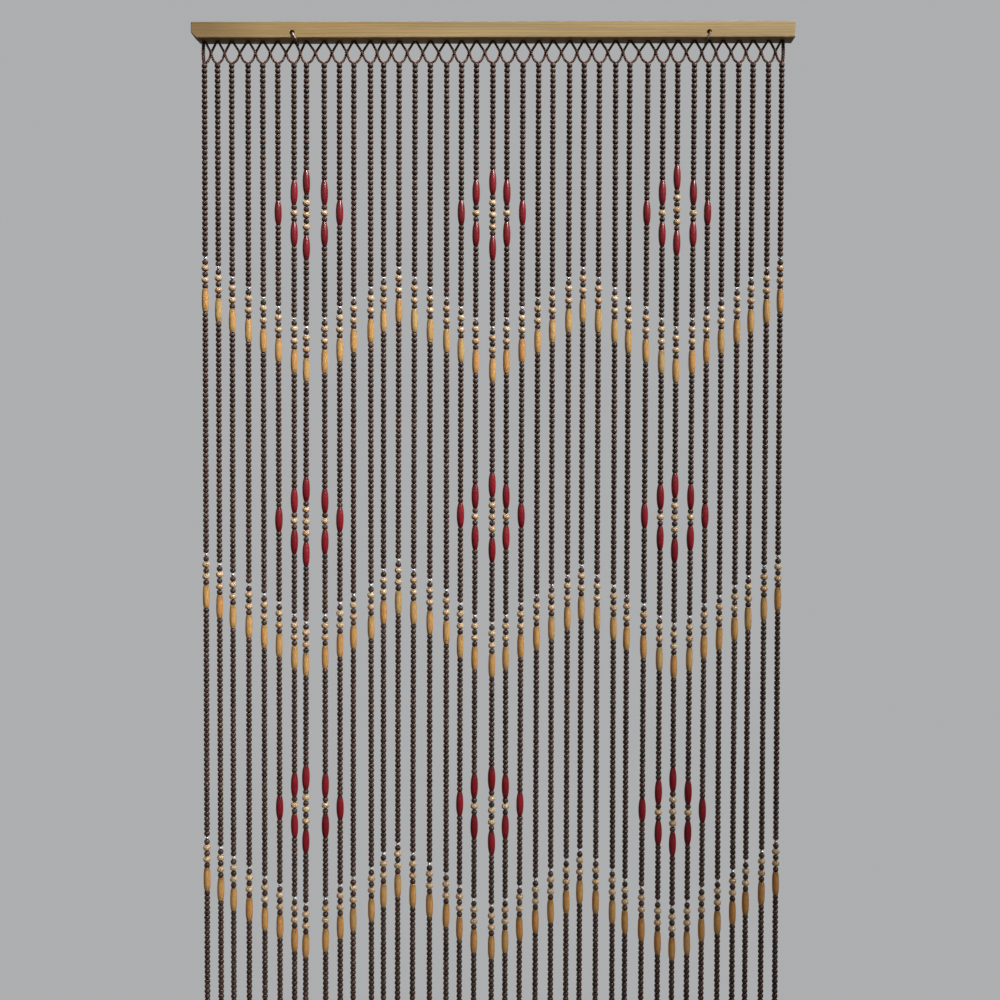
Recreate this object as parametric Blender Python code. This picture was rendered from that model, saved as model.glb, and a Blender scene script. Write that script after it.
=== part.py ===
"""Wooden bead curtain for a doorway, hanging from a pine rail.

Metres, +Z up. The curtain's front faces -Y. The origin is the middle of the
rail's back, the face that lies on the wall or on the door frame.

A pair of cords leaves the rail at each string. One goes to the string on the
left and one to the string on the right, and neighbours cross halfway in a
small knot. So the heading is a net of lozenges, and 39 strings of beads hang
from its lower points. The strings are four-sided here and swell at the long
ovals, red ones in lozenges and honey ones in a zigzag.
"""

from math import atan2, cos, hypot, pi, sin, sqrt, tan

import bmesh
import bpy
from mathutils import Matrix, Vector

# The rail
RAIL_LENGTH = 0.900
RAIL_HEIGHT = 0.024
RAIL_DEPTH = 0.030
EDGE_EASE = 0.0012
LOWER_LEFT_CHAMFER = 0.0080
FRONT = -RAIL_DEPTH
UNDERSIDE = -RAIL_HEIGHT / 2

# The strings
STRINGS = 39
MIDDLE_STRING = STRINGS // 2
STRING_PITCH = 0.0230
END_STRING_DRAWN_IN = 0.0040
OVERALL_DROP = 2.000
CORD_WIDTH = 0.0028
KNOT_DEPTH = 0.0046
SOCKET_WIDTH = 0.0050
SOCKET_DEPTH = 0.0090
SOCKET_SIDES = 8
HEADING_GAP = 0.0010
HEADING_HEIGHT = 0.032
# The cords come in to a string in a round bow: points on it from the crossing down, as shares of
# the way across from string to crossing and of the way up from the string's top to the crossing
LOWER_BOW = ((0.81, 0.60), (0.64, 0.28), (0.40, 0.10))
SEAT_GAP = 0.0003
END_CORD_WIDTH = 0.0032
UNEVENNESS = 0.0010
DRIFT = 0.0014
DRIFT_DROP = 1.350
# Strings that hang most out of line: how far aside at the top, and how much more by DRIFT_DROP
STRAYS = (
    {"strings": (7,), "top": -0.0024, "drift": -0.0018},
    {"strings": (11,), "top": 0.0000, "drift": 0.0020},
    {"strings": (12, 13, 14), "top": -0.0016, "drift": -0.0012},
    {"strings": (29, 30, 31, 32, 33), "top": 0.0026, "drift": -0.0014},
    {"strings": (37,), "top": -0.0016, "drift": -0.0006},
)

# The beads: how much of the string each takes up
BEAD_LENGTH = {
    "dark": 0.0076,
    "natural": 0.0104,
    "clear": 0.0052,
    "honey": 0.0350,
    "red": 0.0368,
}
PLAIN_WIDTH = 0.0070
OVAL_WIDTH = {"honey": 0.0092, "red": 0.0100}
OVAL_NECK = 0.0060
OVAL_SHOULDER = 0.22

# The pattern, in strings and in dark beads
LOZENGE_STRINGS = (7, 19, 31)
BEADS_PER_STEP = 2
HONEY_GROUP = ("clear", "dark", "natural", "dark", "natural", "dark", "honey")
LOZENGE = {
    0: ("red", "dark", "natural", "dark", "natural", "dark", "natural", "dark", "red"),
    1: ("red", "dark", "natural", "dark", "red"),
    2: ("red",),
}
# Each band of the pattern: dark beads above its honey group on a string of a lozenge's
# middle, and for each lozenge from left to right the dark beads above it, on its middle
# string, on the ones beside that and on the outer ones. They differ by a bead here and there
BANDS = (
    {"above_group": 52, "slopes": True, "above_lozenge": ((21, 23, 27), (21, 23, 27), (20, 23, 27))},
    {"above_group": 48, "slopes": False, "above_lozenge": ((19, 23, 29), (18, 22, 28), (18, 22, 28))},
    {"above_group": 46, "slopes": False, "above_lozenge": ((18, 21, 28), (18, 21, 27), (18, 22, 28))},
)
# Strings that have a dark bead fewer above the honey group of the middle band
ONE_FEWER_STRINGS = (12, 13, 14, 15, 16)
ONE_FEWER_BAND = 1

# The hanging wires
WIRE_WIDTH = 0.0030
WIRE_BEND = 0.0022
WIRE_INSET = 0.010
BORE_WIDTH = 0.0076
BORE_DEPTH = 0.014
BORE_ABOVE_UNDERSIDE = 0.0080
BORE_SIDES = 20
WIRE_ASIDE = 0.0012
# Each wire leans as it bends down the rail's front: where its bore is, and where its foot runs back
WIRES = {
    "left": {"bore_x": -0.2985, "foot_x": -0.2935},
    "right": {"bore_x": 0.3225, "foot_x": 0.3200},
}

FINISHES = {
    "pine": {"colour": (0.46, 0.33, 0.17), "roughness": 0.55, "metallic": 0.0},
    "dark_beads": {"colour": (0.055, 0.022, 0.012), "roughness": 0.30, "metallic": 0.0},
    "steel_wire": {"colour": (0.45, 0.44, 0.43), "roughness": 0.25, "metallic": 1.0},
}


def clear_scene():
    for thing in list(bpy.data.objects):
        bpy.data.objects.remove(thing, do_unlink=True)


def finish(name):
    """The plain material of this name."""
    look = FINISHES[name]
    material = bpy.data.materials.new(name)
    material.use_nodes = True
    shader = material.node_tree.nodes["Principled BSDF"]
    shader.inputs["Base Color"].default_value = (*look["colour"], 1.0)
    shader.inputs["Roughness"].default_value = look["roughness"]
    shader.inputs["Metallic"].default_value = look["metallic"]
    return material


def place(name, data, material):
    thing = bpy.data.objects.new(name, data)
    data.materials.append(material)
    bpy.context.scene.collection.objects.link(thing)
    return thing


def mesh_from(name, bm):
    bmesh.ops.recalc_face_normals(bm, faces=bm.faces)
    mesh = bpy.data.meshes.new(name)
    bm.to_mesh(mesh)
    bm.free()
    return mesh


def string_x(number, drop=0.0):
    """Where a string hangs: at an even pitch, but a little out of line, and more so as it drops."""
    even = (number - MIDDLE_STRING) * STRING_PITCH
    if number == 0:
        even += END_STRING_DRAWN_IN
    if number == STRINGS - 1:
        even -= END_STRING_DRAWN_IN
    aside = UNEVENNESS * sin(2.4 * number)
    drift = DRIFT * sin(1.7 * number)
    for stray in STRAYS:
        if number in stray["strings"]:
            aside += stray["top"]
            drift += stray["drift"]
    return even + aside + drift * drop / DRIFT_DROP


def beads_of(number):
    """The kinds of the beads on a string, from its top to its end."""
    nearest = min(range(len(LOZENGE_STRINGS)), key=lambda lozenge: abs(number - LOZENGE_STRINGS[lozenge]))
    steps = abs(number - LOZENGE_STRINGS[nearest])
    beads = []
    for place, band in enumerate(BANDS):
        above = band["above_group"] - (BEADS_PER_STEP * steps if band["slopes"] else 0)
        if place == ONE_FEWER_BAND and number in ONE_FEWER_STRINGS:
            above -= 1
        if steps in LOZENGE:
            over = band["above_lozenge"][nearest][steps]
            motif = LOZENGE[steps]
            beads += ["dark"] * over + list(motif)
            motif_length = sum(BEAD_LENGTH[kind] for kind in motif)
            above -= over + round(motif_length / BEAD_LENGTH["dark"])
        beads += ["dark"] * above + list(HONEY_GROUP)
    threaded = sum(BEAD_LENGTH[kind] for kind in beads)
    rest = OVERALL_DROP - RAIL_HEIGHT - HEADING_GAP - HEADING_HEIGHT - threaded
    return beads + ["dark"] * round(rest / BEAD_LENGTH["dark"])


def make_rail(material):
    """The batten: its lower left corner cut off, a row of sockets underneath and two bores in front."""
    bm = bmesh.new()
    bmesh.ops.create_cube(bm, size=1.0)
    bmesh.ops.scale(bm, vec=(RAIL_LENGTH, RAIL_DEPTH, RAIL_HEIGHT), verts=bm.verts)
    bmesh.ops.translate(bm, vec=(0, -RAIL_DEPTH / 2, 0), verts=bm.verts)
    lower_left = [edge for edge in bm.edges if all(corner.co.x < 0 and corner.co.z < 0 for corner in edge.verts)]
    bmesh.ops.bevel(bm, geom=lower_left, offset=LOWER_LEFT_CHAMFER, segments=1, affect="EDGES")
    bmesh.ops.bevel(bm, geom=bm.edges[:], offset=EDGE_EASE, segments=2, profile=0.5, affect="EDGES")
    rail = place("rail", mesh_from("rail", bm), material)

    bm = bmesh.new()
    for number in range(STRINGS):
        middle = Vector((string_x(number), -RAIL_DEPTH / 2, UNDERSIDE))
        drill(bm, middle, Vector((0, 0, 1)), SOCKET_WIDTH, SOCKET_DEPTH, SOCKET_SIDES)
    for wire in WIRES.values():
        middle = Vector((wire["bore_x"], FRONT, UNDERSIDE + BORE_ABOVE_UNDERSIDE))
        drill(bm, middle, Vector((0, 1, 0)), BORE_WIDTH, BORE_DEPTH, BORE_SIDES)
    cutter = place("drilled_holes", mesh_from("drilled_holes", bm), material)
    cutter.hide_render = True
    cutter.display_type = "WIRE"
    cut = rail.modifiers.new("drilling", "BOOLEAN")
    cut.operation = "DIFFERENCE"
    cut.object = cutter


def drill(bm, mouth, inwards, width, depth, sides):
    """Adds a straight drill bit that goes in at the mouth, and stands out of it as far again."""
    turn = Vector((0, 0, 1)).rotation_difference(inwards).to_matrix().to_4x4()
    half_side = Matrix.Rotation(pi / sides, 4, "Z")
    bmesh.ops.create_cone(
        bm,
        cap_ends=True,
        segments=sides,
        radius1=width / 2,
        radius2=width / 2,
        depth=2 * depth,
        matrix=Matrix.Translation(mouth) @ turn @ half_side,
    )


class Web:
    """A flat openwork of points in X and Z, each with its own thickness, that becomes one solid."""

    def __init__(self):
        self.points = []
        self.faces = []

    def point(self, x, z, thickness):
        self.points.append((x, z, thickness / 2))
        return len(self.points) - 1

    def face(self, *corners):
        """A flat face through these points, turned to run anticlockwise as seen from the front."""
        ring = [self.points[corner] for corner in corners]
        area = sum(
            here[0] * there[1] - there[0] * here[1]
            for here, there in zip(ring, ring[1:] + ring[:1])
        )
        self.faces.append(corners if area > 0 else corners[::-1])

    def solid(self, name, y):
        """The front and the back of every face, and a wall along each edge that bounds the openwork."""
        bm = bmesh.new()
        front = [bm.verts.new((x, y - half, z)) for x, z, half in self.points]
        back = [bm.verts.new((x, y + half, z)) for x, z, half in self.points]
        edges = set()
        for face in self.faces:
            bm.faces.new([front[corner] for corner in face])
            bm.faces.new([back[corner] for corner in reversed(face)])
            edges.update(zip(face, face[1:] + face[:1]))
        for here, there in edges:
            if (there, here) not in edges:
                bm.faces.new((front[here], back[here], back[there], front[there]))
        mesh = bpy.data.meshes.new(name)
        bm.to_mesh(mesh)
        bm.free()
        return mesh


def make_strings(material):
    """The heading's net and the strings that hang from it, as one piece."""
    web = Web()
    root_z = UNDERSIDE - HEADING_GAP
    top_z = root_z - HEADING_HEIGHT
    knot_z = (root_z + top_z) / 2
    slope = atan2(STRING_PITCH / 2, HEADING_HEIGHT / 2)
    half = CORD_WIDTH / 2
    tall = half / sin(slope)
    wide = half / cos(slope)
    ear = half * tan(slope / 2)
    last_across, last_up = LOWER_BOW[-1]
    low_slope = atan2(last_across * STRING_PITCH / 2, last_up * HEADING_HEIGHT / 2)
    low_tall = half / sin(low_slope)
    low_ear = half * tan(low_slope / 2)

    roots = []
    tops = []
    for number in range(STRINGS):
        x = string_x(number)
        root = {
            "left": web.point(x - half, root_z + ear, CORD_WIDTH),
            "right": web.point(x + half, root_z + ear, CORD_WIDTH),
            "fork": web.point(x, root_z - tall, CORD_WIDTH),
        }
        end_z = UNDERSIDE + SOCKET_DEPTH - SEAT_GAP
        end_left = web.point(x - half, end_z, CORD_WIDTH)
        end_right = web.point(x + half, end_z, CORD_WIDTH)
        web.face(root["left"], root["right"], root["fork"])
        web.face(root["left"], root["right"], end_right, end_left)
        roots.append(root)

        top = {
            "left": web.point(x - half, top_z - low_ear, CORD_WIDTH),
            "right": web.point(x + half, top_z - low_ear, CORD_WIDTH),
            "fork": web.point(x, top_z + low_tall, CORD_WIDTH),
        }
        web.face(top["left"], top["right"], top["fork"])
        add_string(web, number, top, top_z)
        tops.append(top)

    for number in range(STRINGS - 1):
        x = (string_x(number) + string_x(number + 1)) / 2
        knot = {
            "up": web.point(x, knot_z + tall, KNOT_DEPTH),
            "down": web.point(x, knot_z - tall, KNOT_DEPTH),
            "left": web.point(x - wide, knot_z, KNOT_DEPTH),
            "right": web.point(x + wide, knot_z, KNOT_DEPTH),
        }
        web.face(knot["up"], knot["right"], knot["down"], knot["left"])
        web.face(knot["up"], knot["left"], roots[number]["fork"], roots[number]["right"])
        web.face(knot["up"], knot["right"], roots[number + 1]["fork"], roots[number + 1]["left"])
        for beside, side, facing in ((number, "left", "right"), (number + 1, "right", "left")):
            add_bow(web, (x, knot_z), knot[side], knot["down"], (string_x(beside), top_z), tops[beside], facing)

    for number, outer, outwards in ((0, "left", -1), (STRINGS - 1, "right", 1)):
        root = roots[number]
        top = tops[number]
        x = string_x(number)
        inner_middle = web.point(x, knot_z, END_CORD_WIDTH)
        outer_middle = web.point(x + outwards * END_CORD_WIDTH, knot_z, END_CORD_WIDTH)
        web.face(root[outer], root["fork"], inner_middle, outer_middle)
        web.face(outer_middle, inner_middle, top["fork"], top[outer])

    place("bead_strings", web.solid("bead_strings", -RAIL_DEPTH / 2), material)


def add_bow(web, crossing, inner, outer, below, top, facing):
    """The pair of cords' lower run, bowed from a crossing in to the top of the string below it."""
    x, z = below
    line = [crossing]
    for across, up in LOWER_BOW:
        line.append((x + (crossing[0] - x) * across, z + (crossing[1] - z) * up))
    line.append(below)
    half = CORD_WIDTH / 2
    inwards = 1 if facing == "right" else -1
    for before, here, after in zip(line, line[1:], line[2:]):
        run_x = after[0] - before[0]
        run_z = after[1] - before[1]
        run = hypot(run_x, run_z)
        aside_x = inwards * half * run_z / run
        aside_z = -inwards * half * run_x / run
        next_inner = web.point(here[0] + aside_x, here[1] + aside_z, CORD_WIDTH)
        next_outer = web.point(here[0] - aside_x, here[1] - aside_z, CORD_WIDTH)
        web.face(outer, inner, next_inner, next_outer)
        inner = next_inner
        outer = next_outer
    web.face(outer, inner, top["fork"], top[facing])


def add_string(web, number, top, top_z):
    """One string below its top in the net: plain where its beads are round, swollen at each oval."""
    rings = [(BEAD_LENGTH["dark"] / 4, PLAIN_WIDTH)]
    along = 0.0
    for kind in beads_of(number):
        length = BEAD_LENGTH[kind]
        if kind in OVAL_WIDTH:
            shoulder = OVAL_SHOULDER * length
            rings.append((along, OVAL_NECK))
            rings.append((along + shoulder, OVAL_WIDTH[kind]))
            rings.append((along + length - shoulder, OVAL_WIDTH[kind]))
            rings.append((along + length, OVAL_NECK))
        along += length
    rings.append((along, PLAIN_WIDTH))

    left = top["left"]
    right = top["right"]
    for drop, width in rings:
        x = string_x(number, drop)
        z = top_z - drop
        next_left = web.point(x - width / 2, z, width)
        next_right = web.point(x + width / 2, z, width)
        web.face(left, right, next_right, next_left)
        left = next_left
        right = next_right


def make_wire(side, bore_x, foot_x, material):
    """A hanging wire: it lies in its bore, bends down over the rail's front and back beneath it."""
    reach = WIRE_WIDTH / 2 + SEAT_GAP
    sunk = sqrt((BORE_WIDTH / 2 - reach) ** 2 - WIRE_ASIDE**2)
    bore_z = UNDERSIDE + BORE_ABOVE_UNDERSIDE - sunk
    start_x = bore_x + WIRE_ASIDE
    under_z = UNDERSIDE - reach
    bend_y = FRONT - reach + WIRE_BEND
    profile = []
    bend_steps = 5
    for centre_z, start in ((bore_z - WIRE_BEND, pi / 2), (under_z + WIRE_BEND, pi)):
        for step in range(bend_steps + 1):
            angle = start + step / bend_steps * pi / 2
            profile.append((bend_y + WIRE_BEND * cos(angle), centre_z + WIRE_BEND * sin(angle)))
    route = [Vector((start_x, FRONT + WIRE_INSET, bore_z))]
    for y, z in profile:
        down = (bore_z - z) / (bore_z - under_z)
        route.append(Vector((start_x + (foot_x - start_x) * down, y, z)))
    route.append(Vector((foot_x, -SEAT_GAP, under_z)))

    curve = bpy.data.curves.new("hanging_wire_" + side, "CURVE")
    curve.dimensions = "3D"
    curve.bevel_depth = WIRE_WIDTH / 2
    curve.bevel_resolution = 3
    curve.use_fill_caps = True
    spline = curve.splines.new("POLY")
    spline.points.add(len(route) - 1)
    for point, stop in zip(spline.points, route):
        point.co = (*stop, 1.0)
    place("hanging_wire_" + side, curve, material)


def main():
    clear_scene()
    make_rail(finish("pine"))
    make_strings(finish("dark_beads"))
    steel = finish("steel_wire")
    for side, wire in WIRES.items():
        make_wire(side, wire["bore_x"], wire["foot_x"], steel)


main()
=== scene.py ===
# %% [markdown]
# # A bead curtain on a pine rail
#
# The real thing hangs in a doorway: a pine batten, a net of dark cords knotted under it, and 39 strings of
# wooden beads. Most beads are small, round and dark brown. Long crimson beads and pale round ones draw
# three lozenges in each of three rows, and long honey-coloured beads draw a zigzag under each row.
# The solids of the curtain come in first. They give the place and the size of all that follows.

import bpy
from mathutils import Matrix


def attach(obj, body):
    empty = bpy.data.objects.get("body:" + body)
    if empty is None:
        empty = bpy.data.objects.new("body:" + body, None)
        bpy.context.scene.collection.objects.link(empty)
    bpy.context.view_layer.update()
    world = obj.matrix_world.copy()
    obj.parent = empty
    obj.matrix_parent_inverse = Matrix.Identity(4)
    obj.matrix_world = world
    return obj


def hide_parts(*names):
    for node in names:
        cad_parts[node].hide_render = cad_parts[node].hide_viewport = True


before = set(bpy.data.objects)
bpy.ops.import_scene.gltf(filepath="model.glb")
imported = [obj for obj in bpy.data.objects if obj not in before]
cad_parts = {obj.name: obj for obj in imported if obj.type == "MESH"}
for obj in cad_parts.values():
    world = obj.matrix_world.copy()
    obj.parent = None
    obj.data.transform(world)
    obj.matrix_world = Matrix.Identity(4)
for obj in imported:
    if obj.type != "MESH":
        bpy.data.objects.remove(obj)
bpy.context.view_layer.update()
print("solids:", sorted(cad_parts))

# %% Tools for the rest of the lesson
from math import cos, pi, sin

import bpy
import numpy as np
from mathutils import Matrix, Vector

MM = 0.001
scene = bpy.context.scene
scene.view_settings.view_transform = "Standard"
print("one millimetre is", MM, "of Blender's units")

# %% [markdown]
# ## The camera
#
# A picture like this is taken about two metres from the doorway with a slightly long lens, at the height of
# the curtain's middle. A camera could be pointed by eye. Its place, tilt and lens were fitted instead, to
# where the rail's corners and the long beads lie, so that the strings run as they should from top to bottom.

# %% Camera
CAMERA_PLACE = (0.0399, -1.9602, -0.6481)
CAMERA_TILT_DOWN = 0.0270
CAMERA_TURN_LEFT = 0.0136
CAMERA_ROLL = 0.0029
CAMERA_LENS_MM = 46.3
CAMERA_SENSOR_MM = 36.0

camera_data = bpy.data.cameras.new("camera")
camera_data.sensor_width = CAMERA_SENSOR_MM
camera_data.lens = CAMERA_LENS_MM
camera = bpy.data.objects.new("camera", camera_data)
turn_left = Matrix.Rotation(CAMERA_TURN_LEFT, 3, "Z")
tilt = Matrix.Rotation(pi / 2 - CAMERA_TILT_DOWN, 3, "X")
roll = Matrix.Rotation(CAMERA_ROLL, 3, "Z")
camera.matrix_world = Matrix.Translation(CAMERA_PLACE) @ (turn_left @ tilt @ roll).to_4x4()
scene.collection.objects.link(camera)
scene.camera = camera
print("the camera stands", round(-CAMERA_PLACE[1], 2), "m in front of the wall's plane")

# %% [markdown]
# ## How the strings are threaded
#
# On the real curtain each string is counted out bead by bead, and the counts alone draw the pattern: a
# string further from the middle of a lozenge carries fewer dark beads above its honey bead. The same counts
# are repeated here, with the same sizes as in the solids. The bands hold the dark beads above each honey
# group, and above each lozenge on its middle string, on the ones beside that and on the outer ones. Five
# strings carry one dark bead fewer in the middle band. A list of places could be typed in by hand, but a
# few counts and one rule give all 9,213 of them, and a changed count moves everything below it.

# %% Sizes and counts
RAIL_DEPTH = 0.030
RAIL_HEIGHT = 0.024
UNDERSIDE = -RAIL_HEIGHT / 2
STRINGS = 39
MIDDLE_STRING = 19
STRING_PITCH = 0.0230
END_STRING_DRAWN_IN = 0.0040
OVERALL_DROP = 2.000
HEADING_GAP = 0.0010
HEADING_HEIGHT = 0.032
KNOT_Z = UNDERSIDE - HEADING_GAP - HEADING_HEIGHT / 2
TOP_Z = UNDERSIDE - HEADING_GAP - HEADING_HEIGHT
STRING_Y = -RAIL_DEPTH / 2
UNEVENNESS = 0.0010
DRIFT = 0.0014
DRIFT_DROP = 1.350
STRAYS = (
    {"strings": (7,), "top": -0.0024, "drift": -0.0018},
    {"strings": (11,), "top": 0.0000, "drift": 0.0020},
    {"strings": (12, 13, 14), "top": -0.0016, "drift": -0.0012},
    {"strings": (29, 30, 31, 32, 33), "top": 0.0026, "drift": -0.0014},
    {"strings": (37,), "top": -0.0016, "drift": -0.0006},
)
BEAD_LENGTH = {"dark": 0.0076, "natural": 0.0104, "clear": 0.0052, "honey": 0.0350, "red": 0.0368}
LOZENGE_STRINGS = (7, 19, 31)
BEADS_PER_STEP = 2
HONEY_GROUP = ("clear", "dark", "natural", "dark", "natural", "dark", "honey")
LOZENGE = {
    0: ("red", "dark", "natural", "dark", "natural", "dark", "natural", "dark", "red"),
    1: ("red", "dark", "natural", "dark", "red"),
    2: ("red",),
}
BANDS = (
    {"above_group": 52, "slopes": True, "above_lozenge": ((21, 23, 27), (21, 23, 27), (20, 23, 27))},
    {"above_group": 48, "slopes": False, "above_lozenge": ((19, 23, 29), (18, 22, 28), (18, 22, 28))},
    {"above_group": 46, "slopes": False, "above_lozenge": ((18, 21, 28), (18, 21, 27), (18, 22, 28))},
)
ONE_FEWER_STRINGS = (12, 13, 14, 15, 16)
ONE_FEWER_BAND = 1


def string_x(number, drop=0.0):
    """Where a string hangs from left to right, at a drop below its top."""
    even = (number - MIDDLE_STRING) * STRING_PITCH
    if number == 0:
        even += END_STRING_DRAWN_IN
    if number == STRINGS - 1:
        even -= END_STRING_DRAWN_IN
    aside = UNEVENNESS * sin(2.4 * number)
    drift = DRIFT * sin(1.7 * number)
    for stray in STRAYS:
        if number in stray["strings"]:
            aside += stray["top"]
            drift += stray["drift"]
    return even + aside + drift * drop / DRIFT_DROP


def beads_of(number):
    """The beads of one string, from its top down."""
    nearest = min(range(len(LOZENGE_STRINGS)), key=lambda lozenge: abs(number - LOZENGE_STRINGS[lozenge]))
    steps = abs(number - LOZENGE_STRINGS[nearest])
    beads = []
    for row, band in enumerate(BANDS):
        above = band["above_group"] - (BEADS_PER_STEP * steps if band["slopes"] else 0)
        if row == ONE_FEWER_BAND and number in ONE_FEWER_STRINGS:
            above -= 1
        if steps in LOZENGE:
            over = band["above_lozenge"][nearest][steps]
            motif = LOZENGE[steps]
            beads += ["dark"] * over + list(motif)
            motif_length = sum(BEAD_LENGTH[kind] for kind in motif)
            above -= over + round(motif_length / BEAD_LENGTH["dark"])
        beads += ["dark"] * above + list(HONEY_GROUP)
    threaded = sum(BEAD_LENGTH[kind] for kind in beads)
    rest = OVERALL_DROP - RAIL_HEIGHT - HEADING_GAP - HEADING_HEIGHT - threaded
    return beads + ["dark"] * round(rest / BEAD_LENGTH["dark"])


hung = {kind: [] for kind in BEAD_LENGTH}
string_length = []
for number in range(STRINGS):
    drop = 0.0
    for kind in beads_of(number):
        hung[kind].append((number, drop + BEAD_LENGTH[kind] / 2))
        drop += BEAD_LENGTH[kind]
    string_length.append(drop)
print("beads:", {kind: len(places) for kind, places in hung.items()})

# %% [markdown]
# ## Turned beads as meshes
#
# Wooden beads are turned on a lathe and drilled through. In Blender a lathe form is a profile of radius and
# height carried round an axis. A modifier or an instancer could do the turning and the copying. With more
# than nine thousand beads, plain arrays are quicker, and the result is ordinary joined meshes that any
# other program can read. Each copy is spun, leant and sized a little differently, so no two look alike, and
# carries two numbers for its finish: its own tone, and how near each point is to the drilled hole.

# %% Turn a profile, copy it along the strings and lay it out as a mesh
def turned(profile, sides):
    """A lathe form of (radius, height) points: its points, normals, nearness to the hole and faces."""
    radius, height = np.array(profile, float).T
    outward, upward = np.gradient(height), -np.gradient(radius)
    steep = np.hypot(outward, upward)
    angle = 2 * pi * np.arange(sides) / sides
    around = np.stack([np.cos(angle), np.sin(angle)], 1)
    points = np.empty((len(radius), sides, 3))
    points[..., :2] = radius[:, None, None] * around
    points[..., 2] = height[:, None]
    normals = np.empty_like(points)
    normals[..., :2] = (outward / steep)[:, None, None] * around
    normals[..., 2] = (upward / steep)[:, None]
    rim = np.repeat((np.abs(height) / np.abs(height).max())[:, None], sides, 1)
    ring = np.arange(len(radius) - 1)[:, None] * sides
    side = np.arange(sides)[None, :]
    after = (side + 1) % sides
    faces = np.stack([ring + side, ring + after, ring + sides + after, ring + sides + side], -1)
    return points.reshape(-1, 3), normals.reshape(-1, 3), rim.ravel(), faces.reshape(-1, 4)


LEAN = 0.035
SIZE_SPREAD = 0.015


def strung(shape, places, draws, tone, lean=LEAN, size=SIZE_SPREAD):
    """One copy of a turned shape at each (string, drop), each spun, leant and sized by the draws."""
    points, normals, rim, faces = shape
    count = len(places)
    spin = draws.uniform(0, 2 * pi, (count, 1))
    lean_x, lean_y = draws.normal(0, lean, (2, count, 1))
    width = 1 + draws.normal(0, size, (count, 1))
    spun_x, spun_y = np.cos(spin), np.sin(spin)

    def turned_copies(vectors, widened):
        x = (vectors[:, 0] * spun_x - vectors[:, 1] * spun_y) * widened
        y = (vectors[:, 0] * spun_y + vectors[:, 1] * spun_x) * widened
        z = vectors[:, 2][None, :]
        return np.stack([x + lean_x * z, y + lean_y * z, z - lean_x * x - lean_y * y], -1)

    middles = np.array([(string_x(number, drop), STRING_Y, TOP_Z - drop) for number, drop in places])
    placed = turned_copies(points, width) + middles[:, None, :]
    shading = turned_copies(normals, 1.0)
    numbered = faces[None] + np.arange(count)[:, None, None] * len(points)
    return {
        "points": placed.reshape(-1, 3),
        "normals": shading.reshape(-1, 3),
        "faces": numbered.reshape(-1, 4).tolist(),
        "rim": np.tile(rim, count),
        "tone": np.repeat(np.clip(tone, 0, 1), len(points)),
    }


def joined(parts):
    """Several forms as one."""
    start = 0
    faces = []
    for part in parts:
        faces += [[corner + start for corner in face] for face in part["faces"]]
        start += len(part["points"])
    whole = {"faces": faces}
    for key in ("points", "normals", "rim", "tone"):
        whole[key] = np.concatenate([part[key] for part in parts])
    return whole


def lay_out(name, form, finish, stands_for):
    """Makes a shown piece of a form, in its finish, in place of a CAD node."""
    mesh = bpy.data.meshes.new(name)
    mesh.from_pydata(form["points"].tolist(), [], form["faces"])
    mesh.shade_smooth()
    mesh.normals_split_custom_set_from_vertices(form["normals"].tolist())
    for label in ("tone", "rim"):
        layer = mesh.attributes.new(label, "FLOAT", "POINT")
        layer.data.foreach_set("value", np.asarray(form[label], np.float32))
    mesh.materials.append(finish)
    piece = bpy.data.objects.new(name, mesh)
    scene.collection.objects.link(piece)
    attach(piece, "root")
    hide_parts(stands_for)
    triangles = sum(len(face) - 2 for face in form["faces"])
    print(name, "has", triangles, "triangles")
    return piece


sample = turned([(1, height) for height in range(6)], 8)
print("an eight-sided bead of six rings has", 2 * len(sample[3]), "triangles")

# %% [markdown]
# ## Helpers for finishes
#
# A finish is a small network of nodes that ends in the Principled shader. Its textures read the place on
# the object itself, so they stay put from every side. A few helpers keep the networks short: they add a
# node and join it to others, turn a number into a colour, mix two colours or shade one, and make noise.

# %% Helpers for finishes
def new_finish(name, **plain):
    """A new material: its node tree and its Principled shader, with the plain inputs set."""
    material = bpy.data.materials.new(name)
    material.use_nodes = True
    tree = material.node_tree
    shader = tree.nodes["Principled BSDF"]
    for label, value in plain.items():
        shader.inputs[label.replace("_", " ")].default_value = value
    return material, tree, shader


def add(tree, kind, settings=None, **inputs):
    """A new node. An input given as an output of another node is linked, any other is set."""
    node = tree.nodes.new("ShaderNode" + kind)
    for label, value in (settings or {}).items():
        setattr(node, label, value)
    for label, value in inputs.items():
        key = int(label[1:]) if label[0] == "i" and label[1:].isdigit() else label.replace("_", " ")
        if isinstance(value, bpy.types.NodeSocket):
            tree.links.new(value, node.inputs[key])
        else:
            node.inputs[key].default_value = value
    return node


def ramp(tree, factor, stops):
    """A colour for each value of the factor, from (place, colour) stops."""
    node = add(tree, "ValToRGB", Fac=factor)
    elements = node.color_ramp.elements
    while len(elements) < len(stops):
        elements.new(0.5)
    for element, (place, colour) in zip(elements, stops):
        element.position = place
        element.color = (*colour, 1.0)
    return node.outputs["Color"]


def mixed(tree, factor, first, second, how="MIX"):
    """Two colours mixed by a factor."""
    node = add(tree, "Mix", {"data_type": "RGBA", "blend_type": how}, i0=factor, i6=first, i7=second)
    return node.outputs[2]


def shaded(tree, colour, factor, stops):
    """A colour multiplied by the ramp of a factor."""
    return mixed(tree, 1.0, colour, ramp(tree, factor, stops), "MULTIPLY")


def grey(value):
    """A grey of that brightness."""
    return (value, value, value)


def scaled(tree, source, across_x, across_y, across_z):
    """Coordinates stretched by so many units a metre along each axis."""
    return add(tree, "Mapping", Vector=source, Scale=(across_x, across_y, across_z)).outputs["Vector"]


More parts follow.
